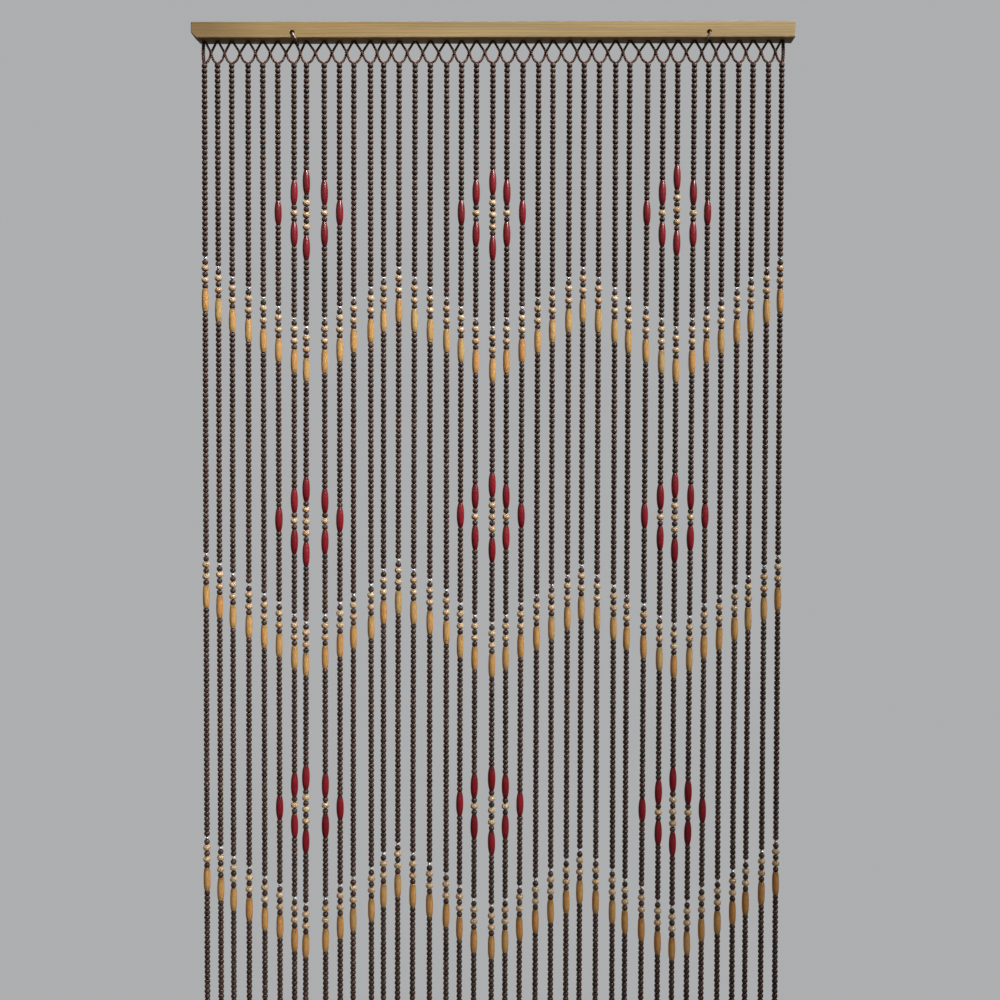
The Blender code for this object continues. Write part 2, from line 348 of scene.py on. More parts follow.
def worked(tree, operation, first, second):
    """Two directions or places worked into one."""
    return add(tree, "VectorMath", {"operation": operation}, i0=first, i1=second).outputs["Vector"]


def cloudy(tree, place, detail, scale=1.0, output="Fac"):
    """Noise at a place."""
    return add(tree, "TexNoise", Vector=place, Scale=scale, Detail=detail).outputs[output]


print("helpers: new_finish, add, ramp, mixed, shaded, grey, scaled, worked, cloudy")

# %% [markdown]
# ## Stained and varnished bead wood
#
# The beads are small pieces of close-grained wood. They are tumbled in stain, which sinks deeper into the
# end grain round the drilled hole, and then varnished, so they have a soft shine over the colour. One
# network serves all the wooden beads: their tone picks a body colour, fine fibres run along the hole, and
# the rim darkens, partly from that stain and partly as painted shade where neighbouring beads meet. Four
# finishes with pictures of wood could do the same, but would repeat on every bead.

# %% Finish of the wooden beads
FIBRES_ACROSS = 1500.0
FIBRES_ALONG = 170.0
BLOTCHES = 330.0
TONE_SHIFT = (3.7, 5.1, 9.3)
FIBRE_DEPTH = 0.06 * MM
FIBRE_RELIEF = 0.22
FIBRES_FROM = 0.36
FIBRES_TO = 0.62
BLOTCHES_FROM = 0.30
BLOTCHES_TO = 0.70
BLOTCH_PALE = 1.06
RIM_START = 0.45
TONE_PLACES = (0.0, 0.5, 1.0)


def bead_wood(name, body, fibre_dark, blotch_dark, rim_stain_and_shade, rough, **plain):
    """The finish of turned beads. body is the colour at a bead's darkest, middle and palest tone."""
    material, tree, shader = new_finish(name, **plain)
    place = add(tree, "TexCoord").outputs["Object"]
    tone = add(tree, "Attribute", {"attribute_name": "tone"}).outputs["Fac"]
    rim = add(tree, "Attribute", {"attribute_name": "rim"}).outputs["Fac"]
    shift = add(tree, "VectorMath", {"operation": "SCALE"}, i0=TONE_SHIFT, Scale=tone).outputs["Vector"]
    own_place = worked(tree, "ADD", place, shift)
    fibre_place = scaled(tree, own_place, FIBRES_ACROSS, FIBRES_ACROSS, FIBRES_ALONG)
    fibres = add(tree, "TexNoise", Vector=fibre_place, Scale=1.0, Detail=3.0, Roughness=0.6).outputs["Fac"]
    blotches = cloudy(tree, own_place, 2.0, BLOTCHES)

    fibre_stops = ((FIBRES_FROM, grey(fibre_dark)), (FIBRES_TO, grey(1.0)))
    blotch_stops = ((BLOTCHES_FROM, grey(blotch_dark)), (BLOTCHES_TO, grey(BLOTCH_PALE)))
    # Darker towards the holes: partly stain in the end grain, partly painted shade where neighbouring beads
    # meet.
    rim_stops = ((RIM_START, grey(1.0)), (1.0, grey(rim_stain_and_shade)))
    colour = ramp(tree, tone, list(zip(TONE_PLACES, body)))
    colour = shaded(tree, colour, fibres, fibre_stops)
    colour = shaded(tree, colour, blotches, blotch_stops)
    colour = shaded(tree, colour, rim, rim_stops)
    tree.links.new(colour, shader.inputs["Base Color"])

    sheen = add(tree, "MapRange", Value=fibres, To_Min=rough[0], To_Max=rough[1]).outputs["Result"]
    tree.links.new(sheen, shader.inputs["Roughness"])
    bump = add(tree, "Bump", Height=fibres, Strength=FIBRE_RELIEF, Distance=FIBRE_DEPTH)
    tree.links.new(bump.outputs["Normal"], shader.inputs["Normal"])
    return material


dark_wood = bead_wood(
    "dark_bead_wood",
    ((0.040, 0.015, 0.008), (0.092, 0.040, 0.024), (0.165, 0.084, 0.055)),
    fibre_dark=0.70,
    blotch_dark=0.80,
    rim_stain_and_shade=0.25,
    rough=(0.46, 0.58),
    Specular_IOR_Level=0.65,
    Coat_Weight=0.10,
    Coat_Roughness=0.30,
)
natural_wood = bead_wood(
    "natural_bead_wood",
    ((0.66, 0.40, 0.21), (0.74, 0.51, 0.29), (0.82, 0.62, 0.39)),
    fibre_dark=0.84,
    blotch_dark=0.90,
    rim_stain_and_shade=0.58,
    rough=(0.32, 0.46),
    Coat_Weight=0.30,
    Coat_Roughness=0.20,
)
honey_wood = bead_wood(
    "honey_bead_wood",
    ((0.76, 0.50, 0.20), (0.82, 0.45, 0.15), (0.78, 0.36, 0.11)),
    fibre_dark=0.72,
    blotch_dark=0.90,
    rim_stain_and_shade=0.62,
    rough=(0.26, 0.40),
    Coat_Weight=0.45,
    Coat_Roughness=0.18,
)
red_wood = bead_wood(
    "red_bead_wood",
    ((0.25, 0.008, 0.015), (0.34, 0.012, 0.023), (0.43, 0.024, 0.038)),
    fibre_dark=0.80,
    blotch_dark=0.86,
    rim_stain_and_shade=0.45,
    rough=(0.30, 0.42),
    Coat_Weight=0.40,
    Coat_Roughness=0.24,
)
print("bead finishes:", dark_wood.name, natural_wood.name, honey_wood.name, red_wood.name)

# %% [markdown]
# ## The dark beads
#
# They are the ground of the whole curtain: barrels 8.8 mm across and 7.6 mm long, flat where the next bead
# sits and well rounded between. Six rings and eight sides are enough for a bead this small, because each
# point carries the normal of the true round form, which makes the shine run smoothly over it. The beads of
# eight neighbouring strings make one piece, so no piece grows too heavy. A string is often threaded from
# one bag of beads, so the tone drifts a little from string to string.

# %% Dark beads
SEED = 71
DARK_RADIUS = 4.4 * MM
DARK_HALF = 3.77 * MM
DARK_OUTLINE = ((0.47, 1.00), (0.82, 0.77), (1.00, 0.31))
DARK_SIDES = 8
STRINGS_IN_A_PIECE = 8
MIDDLE_TONE = 0.48
BATCH_SPREAD = 0.06
BEAD_SPREAD = 0.17

draws = np.random.default_rng(SEED)
upper_half = [(DARK_RADIUS * width, DARK_HALF * height) for width, height in DARK_OUTLINE]
lower_half = [(radius, -height) for radius, height in upper_half]
dark_shape = turned(lower_half + upper_half[::-1], DARK_SIDES)
batch = draws.normal(MIDDLE_TONE, BATCH_SPREAD, STRINGS)
for first in range(0, STRINGS, STRINGS_IN_A_PIECE):
    last = min(first + STRINGS_IN_A_PIECE, STRINGS)
    places = [place for place in hung["dark"] if first <= place[0] < last]
    tone = np.array([batch[number] for number, drop in places]) + draws.normal(0, BEAD_SPREAD, len(places))
    form = strung(dark_shape, places, draws, tone)
    lay_out(f"dark_beads_{first + 1}_to_{last}", form, dark_wood, "bead_strings")

# %% [markdown]
# ## The pale round beads
#
# Natural beads have only varnish on them. They are 11.4 mm across, so they stand out from the dark beads in
# size as well as in colour. They get more sides and rings than the dark ones, since there are few of them.

# %% Natural beads
NATURAL_RADIUS = 5.70 * MM
NATURAL_HALF = 5.15 * MM
NATURAL_HOLE = 14.0
NATURAL_RINGS = 10
NATURAL_SIDES = 12
NATURAL_TONE = 0.5
NATURAL_SPREAD = 0.24

natural_profile = []
for degrees in np.linspace(180 - NATURAL_HOLE, NATURAL_HOLE, NATURAL_RINGS):
    angle = degrees * pi / 180
    natural_profile.append((NATURAL_RADIUS * sin(angle), NATURAL_HALF * cos(angle)))
natural_tone = draws.normal(NATURAL_TONE, NATURAL_SPREAD, len(hung["natural"]))
form = strung(turned(natural_profile, NATURAL_SIDES), hung["natural"], draws, natural_tone)
lay_out("natural_beads", form, natural_wood, "bead_strings")

# %% [markdown]
# ## The long crimson and honey beads
#
# Both are long ovals turned from rod. The crimson ones taper like a spindle from 11.3 mm in the middle to
# 6.8 mm at the ends. The honey ones are straighter, like a barrel. One rule draws both: the radius falls
# from the middle to the end by a power of the distance, and a higher power keeps the sides straight for
# longer. Then comes a small rounded arris and the flat end with its hole. Their stain is a little
# stronger lower down on the curtain.

# %% Long beads
LONG_SIDES = 16
LONG_RINGS = 9
LONG_LEAN = 0.008
LONG_TONE = 0.22
LONG_TONE_FALL = 0.42
LONG_SPREAD = 0.20
HOLE_RADIUS = 1.1 * MM
ARRIS = 0.5 * MM
ARRIS_IN = 0.25
ARRIS_DOWN = 0.30
LONG_BEADS = (
    {"kind": "red", "middle": 5.65 * MM, "end": 3.40 * MM, "power": 2.4, "piece": "red_beads"},
    {"kind": "honey", "middle": 5.30 * MM, "end": 4.00 * MM, "power": 3.0, "piece": "honey_beads"},
)


def long_profile(half, middle, end, power):
    """The profile of a long oval bead, from its lower hole to its upper one."""
    sides = []
    for share in np.linspace(-1, 1, LONG_RINGS):
        radius = end + (middle - end) * (1 - abs(share) ** power)
        sides.append((radius, share * (half - ARRIS)))
    end_face = [(HOLE_RADIUS, half), (end - ARRIS, half), (end - ARRIS_IN * ARRIS, half - ARRIS_DOWN * ARRIS)]
    return [(radius, -height) for radius, height in end_face] + sides + end_face[::-1]


long_finish = {"red": red_wood, "honey": honey_wood}
for long_bead in LONG_BEADS:
    kind = long_bead["kind"]
    places = hung[kind]
    profile = long_profile(BEAD_LENGTH[kind] / 2, long_bead["middle"], long_bead["end"], long_bead["power"])
    lowness = np.array([drop for number, drop in places]) / DRIFT_DROP
    tone = LONG_TONE + LONG_TONE_FALL * lowness + draws.normal(0, LONG_SPREAD, len(places))
    form = strung(turned(profile, LONG_SIDES), places, draws, tone, lean=LONG_LEAN)
    lay_out(long_bead["piece"], form, long_finish[kind], "bead_strings")

# %% [markdown]
# ## The small clear beads
#
# A little clear bead sits above each honey group and catches the light. Clear plastic bends light and
# shines, and the thread shows through it as a milky core, so it reads as white from across a room. The
# shader lets part of the light through and keeps a white body, with faint clouding.

# %% Clear beads
CLEAR_RADIUS = 3.0 * MM
CLEAR_HALF = 2.5 * MM
CLEAR_HOLE = 20.0
CLEAR_RINGS = 8
CLEAR_SIDES = 12
CLOUDING = 600.0
MILKY_STOPS = ((0.30, (0.78, 0.78, 0.80)), (0.70, (0.95, 0.95, 0.96)))

clear_plastic, tree, shader = new_finish(
    "clear_bead_plastic",
    Roughness=0.16,
    IOR=1.49,
    Transmission_Weight=0.10,
    Coat_Weight=0.5,
    Coat_Roughness=0.08,
)
place = add(tree, "TexCoord").outputs["Object"]
milky = ramp(tree, cloudy(tree, place, 2.0, CLOUDING), MILKY_STOPS)
tree.links.new(milky, shader.inputs["Base Color"])

clear_profile = []
for degrees in np.linspace(180 - CLEAR_HOLE, CLEAR_HOLE, CLEAR_RINGS):
    angle = degrees * pi / 180
    clear_profile.append((CLEAR_RADIUS * sin(angle), CLEAR_HALF * cos(angle)))
clear_tone = draws.uniform(0, 1, len(hung["clear"]))
form = strung(turned(clear_profile, CLEAR_SIDES), hung["clear"], draws, clear_tone)
lay_out("clear_beads", form, clear_plastic, "bead_strings")

# %% [markdown]
# ## Cords
#
# The beads hang on a dark twisted cord. Under the rail two thicker cords leave each hole, cross their
# neighbours' in a small knot and meet again over the strings, so the whole heading is one net. A cord
# could be a plain tube with a twisted texture. Here each of its two plies is a tube of its own that winds
# round the other, so that the twist shows in the outline and the light too.

# %% Tubes, twisted cords and smooth routes
PLY_REACH = 0.95


def tube(route, radius, sides, front, tone=0.5):
    """A round tube along a route, closed at both ends. front is a direction that it never runs along."""
    route = np.asarray(route, float)
    radius = np.broadcast_to(radius, len(route))
    tangent = np.gradient(route, axis=0)
    tangent /= np.linalg.norm(tangent, axis=1)[:, None]
    across = np.cross(tangent, front)
    across /= np.linalg.norm(across, axis=1)[:, None]
    up = np.cross(across, tangent)
    angle = 2 * pi * np.arange(sides) / sides
    around = np.cos(angle)[None, :, None] * across[:, None] + np.sin(angle)[None, :, None] * up[:, None]
    points = route[:, None] + radius[:, None, None] * around
    faces = []
    for ring in range(len(route) - 1):
        for side in range(sides):
            after = (side + 1) % sides
            low, high = ring * sides, (ring + 1) * sides
            faces.append([low + after, low + side, high + side, high + after])
    faces.append(list(range(sides)))
    faces.append(list(range(len(route) * sides - 1, (len(route) - 1) * sides - 1, -1)))
    return {
        "points": points.reshape(-1, 3),
        "normals": around.reshape(-1, 3),
        "faces": faces,
        "rim": np.zeros(len(route) * sides),
        "tone": np.full(len(route) * sides, tone),
    }


def smooth_route(stops, spacing, rounding):
    """Evenly spaced points along straight runs between the stops, with the corners rounded off."""
    stops = np.array(stops, float)
    runs = np.linalg.norm(np.diff(stops, axis=0), axis=1)
    along = np.concatenate([[0], np.cumsum(runs)])
    fine = np.linspace(0, along[-1], max(3, round(along[-1] / spacing)))
    line = np.stack([np.interp(fine, along, stops[:, axis]) for axis in range(3)], 1)
    window = max(1, round(rounding / spacing))
    lead = line[0] - (line[1] - line[0]) * np.arange(window, 0, -1)[:, None]
    tail = line[-1] + (line[-1] - line[-2]) * np.arange(1, window + 1)[:, None]
    padded = np.concatenate([lead, line, tail])
    weights = np.ones(2 * window + 1) / (2 * window + 1)
    return np.stack([np.convolve(padded[:, axis], weights, "valid") for axis in range(3)], 1)


def twisted(route, ply_radius, lay_length, sides, front, start=0.0, tone=0.5):
    """A cord of two plies that wind round each other once in each lay length."""
    route = np.asarray(route, float)
    tangent = np.gradient(route, axis=0)
    tangent /= np.linalg.norm(tangent, axis=1)[:, None]
    across = np.cross(tangent, front)
    across /= np.linalg.norm(across, axis=1)[:, None]
    up = np.cross(across, tangent)
    steps = np.linalg.norm(np.diff(route, axis=0), axis=1)
    along = np.concatenate([[0], np.cumsum(steps)])
    plies = []
    for ply in (0, 1):
        angle = (start + ply * pi + 2 * pi * along / lay_length)[:, None]
        wound = route + PLY_REACH * ply_radius * (np.cos(angle) * across + np.sin(angle) * up)
        plies.append(tube(wound, ply_radius, sides, front, tone))
    return plies


print("a cord of two plies is", 2 * (1 + PLY_REACH), "times as wide as the radius of one of them")

# %% [markdown]
# The cord is dark reddish brown, duller than the beads. Its fibres show as fine lighter specks and lines
# along each ply, and its edges look paler where the fibres stand out, which sheen does in the shader.

# %% Finish of the cords
CORD_SHEEN = (0.75, 0.52, 0.40, 1.0)
CORD_FIBRES = (2600.0, 2600.0, 900.0)
CORD_STOPS = ((0.0, (0.075, 0.030, 0.022)), (1.0, (0.230, 0.098, 0.064)))
FLECK_STOPS = ((0.32, grey(0.55)), (0.68, grey(1.45)))
CORD_RELIEF = 0.7
CORD_FIBRE_DEPTH = 0.12 * MM

cord_fibre, tree, shader = new_finish("brown_cord", Roughness=0.72, Sheen_Weight=0.35, Sheen_Roughness=0.45)
shader.inputs["Sheen Tint"].default_value = CORD_SHEEN
place = add(tree, "TexCoord").outputs["Object"]
tone = add(tree, "Attribute", {"attribute_name": "tone"}).outputs["Fac"]
strands = cloudy(tree, scaled(tree, place, *CORD_FIBRES), 4.0)
flecked = shaded(tree, ramp(tree, tone, CORD_STOPS), strands, FLECK_STOPS)
tree.links.new(flecked, shader.inputs["Base Color"])
bump = add(tree, "Bump", Height=strands, Strength=CORD_RELIEF, Distance=CORD_FIBRE_DEPTH)
tree.links.new(bump.outputs["Normal"], shader.inputs["Normal"])
print("cord finish:", cord_fibre.name)

# %% [markdown]
# ## The heading net
#
# Each cord starts in a drilled socket under the rail, runs down to the crossing half way to the next
# string and on to that string's top. The cord that runs down to the right passes in front. The cords
# are springy, so below the crossings they come in to the string in a round bow, which is given by the same
# three points as in the solids. At each crossing a short turn of cord is drawn tight round both. The two
# end strings have no neighbour on one side, so a thicker cord drops from the rail there, bent out a little.
# A curve object with a bevel could draw the cords, but routes of points are wound into plies directly.

# %% Heading net
FRONT_SIDE = (0.0, -1.0, 0.0)
UPWARDS = (0.0, 0.0, 1.0)
PLY_RADIUS = 1.08 * MM
LAY_LENGTH = 5.6 * MM
PLY_SIDES = 5
CORD_STEP = 0.85 * MM
ROUNDING = 2.2 * MM
SOCKET_START = 5.0 * MM
FORK = 0.80 * MM
FORK_UNDER_RAIL = 1.2 * FORK
FORK_IN_BEAD = 0.3 * FORK
INTO_BEAD = 2.0 * MM
OVER = 1.30 * MM
CORD_SHADES = (0.25, 0.75)
BACK_CORD_PALER = 0.15
LOWER_BOW = ((0.81, 0.60), (0.64, 0.28), (0.40, 0.10))
WRAP_RADIUS = 0.70 * MM
WRAP_SIDES = 6
WRAP_STEPS = 14
WRAP_HALF_WIDTH = 2.2 * MM
WRAP_HALF_DEPTH = 2.9 * MM
WRAP_TILT = 0.4 * MM
WRAP_SLANT = 0.25
WRAP_SHADES = (0.2, 0.6)
END_PLY_RADIUS = 1.50 * MM
END_LAY_LENGTH = 8.0 * MM
END_PLY_SIDES = 7
END_PLY_START = 0.4
END_SHADE = 0.30
END_BEND = (
    (FORK, UNDERSIDE + SOCKET_START),
    (1.4 * MM, UNDERSIDE - 3.0 * MM),
    (1.9 * MM, KNOT_Z),
    (1.2 * MM, TOP_Z + 3.0 * MM),
    (0.0, TOP_Z - 1.0 * MM),
)

net = []
for number in range(STRINGS - 1):
    left, right = string_x(number), string_x(number + 1)
    crossing = (left + right) / 2
    for start, end, aside in ((left, right, 1), (right, left, -1)):
        front_by = -OVER if aside > 0 else OVER
        bow = []
        for across, up in LOWER_BOW:
            bow_x = end + (crossing - end) * across
            bow.append((bow_x, STRING_Y + up * front_by, TOP_Z + (KNOT_Z - TOP_Z) * up))
        stops = [
            (start + aside * FORK, STRING_Y, UNDERSIDE + SOCKET_START),
            (start + aside * FORK_UNDER_RAIL, STRING_Y, UNDERSIDE),
            (crossing, STRING_Y + front_by, KNOT_Z),
            *bow,
            (end - aside * FORK, STRING_Y, TOP_Z),
            (end - aside * FORK_IN_BEAD, STRING_Y, TOP_Z - INTO_BEAD),
        ]
        route = smooth_route(stops, CORD_STEP, ROUNDING)
        shade = draws.uniform(*CORD_SHADES) + BACK_CORD_PALER * (aside < 0)
        net += twisted(route, PLY_RADIUS, LAY_LENGTH, PLY_SIDES, FRONT_SIDE, draws.uniform(0, pi), shade)
    slant = draws.normal(0, WRAP_SLANT)
    loop = []
    for step in range(WRAP_STEPS + 1):
        angle = 2 * pi * step / WRAP_STEPS
        across, depth = WRAP_HALF_WIDTH * cos(angle), WRAP_HALF_DEPTH * sin(angle)
        rise = slant * across + WRAP_TILT * sin(angle)
        loop.append((crossing + across, STRING_Y + depth, KNOT_Z + rise))
    net.append(tube(loop, WRAP_RADIUS, WRAP_SIDES, UPWARDS, draws.uniform(*WRAP_SHADES)))

for number, outwards in ((0, -1), (STRINGS - 1, 1)):
    drop_line = [(string_x(number) + outwards * bend, STRING_Y, height) for bend, height in END_BEND]
    route = smooth_route(drop_line, CORD_STEP, ROUNDING)
    net += twisted(route, END_PLY_RADIUS, END_LAY_LENGTH, END_PLY_SIDES, FRONT_SIDE, END_PLY_START, END_SHADE)
lay_out("heading_net", joined(net), cord_fibre, "bead_strings")

# %% [markdown]
# ## Threads and end knots
#
# One thin cord runs down through all the beads of a string. It shows in the small gaps between beads,
# inside the clear ones and under the last one, where a knot keeps the beads on and a short end is left.
# The knot could be a small ball. A tube wound on itself one and a half times shows how it was tied.

# %% Threads and end knots
THREAD_RADIUS = 0.60 * MM
THREAD_STEP = 0.100
THREAD_SIDES = 6
THREAD_SHADE = 0.35
KNOT_RADIUS = 2.1 * MM
KNOT_DROP = 2.0 * MM
KNOT_TURN = 10
KNOT_POINTS = 17
KNOT_TOP = 1.1 * MM
KNOT_FALL = 0.14 * MM
KNOT_CORD_RADIUS = 0.8 * MM
KNOT_SHADE = 0.45
TAIL = 9.0 * MM
TAIL_ASIDE = 1.2 * MM
TAIL_BEND = 0.4
TAIL_RADII = (0.75 * MM, 0.75 * MM, 0.55 * MM)
TAIL_SHADE = 0.6


def knot_reach(step):
    """How far the knot's cord lies from its middle at a step: it wanders in and out."""
    return KNOT_RADIUS * (0.55 + 0.15 * sin(step * 1.1))


threads = []
for number in range(STRINGS):
    length = string_length[number]
    drops = np.append(np.arange(0.0, length, THREAD_STEP), length + KNOT_DROP)
    line = [(string_x(number, drop), STRING_Y, TOP_Z - drop) for drop in drops]
    threads.append(tube(line, THREAD_RADIUS, THREAD_SIDES, FRONT_SIDE, THREAD_SHADE))
    foot_x = string_x(number, length)
    knot_z = TOP_Z - length - KNOT_DROP
    turn_line = []
    for step in range(KNOT_POINTS):
        angle, reach = 2 * pi * step / KNOT_TURN, knot_reach(step)
        x, y = foot_x + reach * cos(angle), STRING_Y + reach * sin(angle)
        turn_line.append((x, y, knot_z + KNOT_TOP - step * KNOT_FALL))
    threads.append(tube(turn_line, KNOT_CORD_RADIUS, THREAD_SIDES, UPWARDS, KNOT_SHADE))
    away_x, away_y = draws.normal(0, TAIL_ASIDE, 2)
    tail_line = [
        (foot_x, STRING_Y, knot_z),
        (foot_x + TAIL_BEND * away_x, STRING_Y + TAIL_BEND * away_y, knot_z - TAIL / 2),
        (foot_x + away_x, STRING_Y + away_y, knot_z - TAIL),
    ]
    threads.append(tube(tail_line, TAIL_RADII, THREAD_SIDES, FRONT_SIDE, TAIL_SHADE))
lay_out("threads_and_end_knots", joined(threads), cord_fibre, "bead_strings")

# %% [markdown]
# ## The pine rail
#
# The rail's solid already has the real shape: planed square, its arrises eased, its lower left corner cut,
# two bores in front and a socket for each string underneath. It stays, and gets its wood. Pine is cut from
# a trunk, so its growth rings are tubes round a distant pith that nearly follows the board. The network
# builds just that: the distance from a pith line that runs a little askew, waved by noise and turned into
# pale early wood and darker late wood. The front then shows long lines and the ends show arcs. Fine
# fibres, a warm drift of tone along the rail, and a darker left end come on top; that end is partly the
# pine's own tone and partly painted shade, where the light falls off away from the lamp on the right.
# A picture of pine could be laid on instead, but it would not run on round the arrises and into the bores.

# %% Pine of the rail
PITH = (0.0, 0.055, -0.060)
PITH_SLANT_Z = 0.010
PITH_SLANT_Y = 0.006
RING_SPACING = 2.6 * MM
RING_WAVES = (0.0, 6.0 * MM, 6.0 * MM)
WAVES_SCALE = (2.6, 22.0, 22.0)
FIBRES_SCALE = (28.0, 1500.0, 1500.0)
STREAKS_SCALE = (3.5, 180.0, 180.0)
DRIFT_SCALE = (3.0, 9.0, 9.0)
PINE_DULL = (0.46, 0.64)
PINE_RELIEF = 0.35
PINE_FIBRE_DEPTH = 0.12 * MM
LEFT_END = -0.450
DARKER_LEFT_TO = -0.340
WOOD_STOPS = (
    (0.00, (0.540, 0.398, 0.192)),
    (0.50, (0.526, 0.382, 0.180)),
    (0.86, (0.470, 0.326, 0.142)),
    (0.95, (0.452, 0.310, 0.132)),
    (1.00, (0.532, 0.390, 0.186)),
)
STREAK_STOPS = ((0.32, grey(0.86)), (0.68, grey(1.10)))
FIBRE_STOPS = ((0.30, grey(0.86)), (0.62, grey(1.05)))
DRIFT_STOPS = ((0.30, (1.0, 0.93, 0.84)), (0.70, grey(1.0)))
LEFT_TONE_AND_SHADE_STOPS = ((0.0, (0.74, 0.68, 0.66)), (0.25, (0.72, 0.70, 0.69)), (1.0, grey(1.0)))


pine, tree, shader = new_finish("planed_pine", Coat_Weight=0.08, Coat_Roughness=0.35)
place = add(tree, "TexCoord").outputs["Object"]
along = add(tree, "SeparateXYZ", Vector=place).outputs["X"]
waves = cloudy(tree, scaled(tree, place, *WAVES_SCALE), 2.0, output="Color")
waves = worked(tree, "MULTIPLY", worked(tree, "SUBTRACT", waves, grey(0.5)), RING_WAVES)
slant = add(tree, "VectorMath", {"operation": "SCALE"}, i0=(0.0, PITH_SLANT_Y, PITH_SLANT_Z), Scale=along)
from_pith = worked(tree, "SUBTRACT", place, PITH)
from_pith = worked(tree, "ADD", from_pith, waves)
from_pith = worked(tree, "ADD", from_pith, slant.outputs["Vector"])
flat = worked(tree, "MULTIPLY", from_pith, (0.0, 1.0, 1.0))
distance = add(tree, "VectorMath", {"operation": "LENGTH"}, i0=flat).outputs["Value"]
turns = add(tree, "Math", {"operation": "DIVIDE"}, i0=distance, i1=RING_SPACING).outputs["Value"]
ring = add(tree, "Math", {"operation": "FRACT"}, i0=turns).outputs["Value"]
fibres = cloudy(tree, scaled(tree, place, *FIBRES_SCALE), 4.0)
streaks = cloudy(tree, scaled(tree, place, *STREAKS_SCALE), 3.0)
drift = cloudy(tree, scaled(tree, place, *DRIFT_SCALE), 1.0)
from_left = add(tree, "MapRange", Value=along, From_Min=LEFT_END, From_Max=DARKER_LEFT_TO).outputs["Result"]

wood = ramp(tree, ring, WOOD_STOPS)
wood = shaded(tree, wood, streaks, STREAK_STOPS)
wood = shaded(tree, wood, fibres, FIBRE_STOPS)
wood = shaded(tree, wood, drift, DRIFT_STOPS)
# The left end is painted darker: partly the pine's own tone, partly painted shade away from the lamp on the
# right.
wood = shaded(tree, wood, from_left, LEFT_TONE_AND_SHADE_STOPS)
tree.links.new(wood, shader.inputs["Base Color"])
sheen = add(tree, "MapRange", Value=fibres, To_Min=PINE_DULL[0], To_Max=PINE_DULL[1]).outputs["Result"]
tree.links.new(sheen, shader.inputs["Roughness"])
relief = add(tree, "Math", {"operation": "ADD"}, i0=fibres, i1=streaks).outputs["Value"]
bump = add(tree, "Bump", Height=relief, Strength=PINE_RELIEF, Distance=PINE_FIBRE_DEPTH)
tree.links.new(bump.outputs["Normal"], shader.inputs["Normal"])
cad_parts["rail"].material_slots[0].material = pine
print("the growth rings lie", round(1000 * RING_SPACING, 1), "mm apart")

# %% [markdown]
# ## The hanging wires
#
# A bent steel wire lies in each front bore, goes down over the rail's lower edge and back beneath it to
# the wall. The solid's wire is a plain tube with short bends. The shown one follows the same route with
# rounder bends, more sides and domed tips. A bevelled curve could do it too, but the cords' tube is here
# already. Drawn steel wire has fine lines along it and dulls in patches.

# %% Hanging wires
SIDEWAYS = (1.0, 0.0, 0.0)
WIRE_RADIUS = 1.5 * MM
WIRE_GAP = 0.3 * MM
WIRE_INSET = 10.0 * MM
BORE_ABOVE_UNDERSIDE = 8.0 * MM
BORE_RADIUS = 3.8 * MM
WIRE_ASIDE = 1.2 * MM
WIRE_SIDES = 16
WIRE_STEP = 0.45 * MM
WIRE_ROUNDING = 1.5 * MM
DOME = (0.20, 0.68, 0.88, 0.97)
RUST_AND_STEEL = ((0.35, (0.32, 0.26, 0.23)), (0.65, (0.54, 0.49, 0.46)))
DRAWN_LINES = ((0.3, grey(0.8)), (0.7, grey(1.08)))
LINES_SCALE = (2500.0, 300.0, 300.0)
PATCHES = 160.0
STEEL_DULL = (0.50, 0.70)
WIRES = (
    {"side": "left", "bore_x": -0.2985, "foot_x": -0.2935},
    {"side": "right", "bore_x": 0.3225, "foot_x": 0.3200},
)

steel, tree, shader = new_finish("drawn_steel", Metallic=1.0)
place = add(tree, "TexCoord").outputs["Object"]
lines = cloudy(tree, scaled(tree, place, *LINES_SCALE), 3.0)
patches = cloudy(tree, place, 3.0, PATCHES)
metal = shaded(tree, ramp(tree, patches, RUST_AND_STEEL), lines, DRAWN_LINES)
tree.links.new(metal, shader.inputs["Base Color"])
dull = add(tree, "MapRange", Value=patches, To_Min=STEEL_DULL[0], To_Max=STEEL_DULL[1]).outputs["Result"]
tree.links.new(dull, shader.inputs["Roughness"])

reach = WIRE_RADIUS + WIRE_GAP
sunk = ((BORE_RADIUS - reach) ** 2 - WIRE_ASIDE**2) ** 0.5
bore_z = UNDERSIDE + BORE_ABOVE_UNDERSIDE - sunk
under_z = UNDERSIDE - reach
front_y = -RAIL_DEPTH - reach
for wire in WIRES:
    bore_x, foot_x = wire["bore_x"] + WIRE_ASIDE, wire["foot_x"]
    stops = [
        (bore_x, -RAIL_DEPTH + WIRE_INSET, bore_z),
        (bore_x, front_y, bore_z),
        (foot_x, front_y, under_z),
        (foot_x, -WIRE_GAP, under_z),
    ]
    route = smooth_route(stops, WIRE_STEP, WIRE_ROUNDING)
    fullness = np.ones(len(route))
    fullness[: len(DOME)] = DOME
    fullness[-len(DOME) :] = DOME[::-1]
    form = tube(route, WIRE_RADIUS * fullness, WIRE_SIDES, SIDEWAYS)
    lay_out(wire["side"] + "_wire", form, steel, "hanging_wire_" + wire["side"])

# %% [markdown]
# ## Floor, light and background
#
# The curtain hangs a few centimetres clear of a plain pale floor. A large soft lamp from the upper right
# gives each bead its bright upper right side and leaves the lower left dark. Its beam is narrow, so its
# light fades towards the floor. A second lamp high up behind the curtain draws a fine edge of light, as a
# window beyond the doorway does, and a weak one from the left keeps the dark beads readable. The
# background is a plain pale grey. Seen directly it is lighter than the light it sends, because a wall of
# full brightness on all sides would wash the roundness out of the beads. It sends more from behind the
# curtain than from in front, and little from below, so the rail's underside is dark.

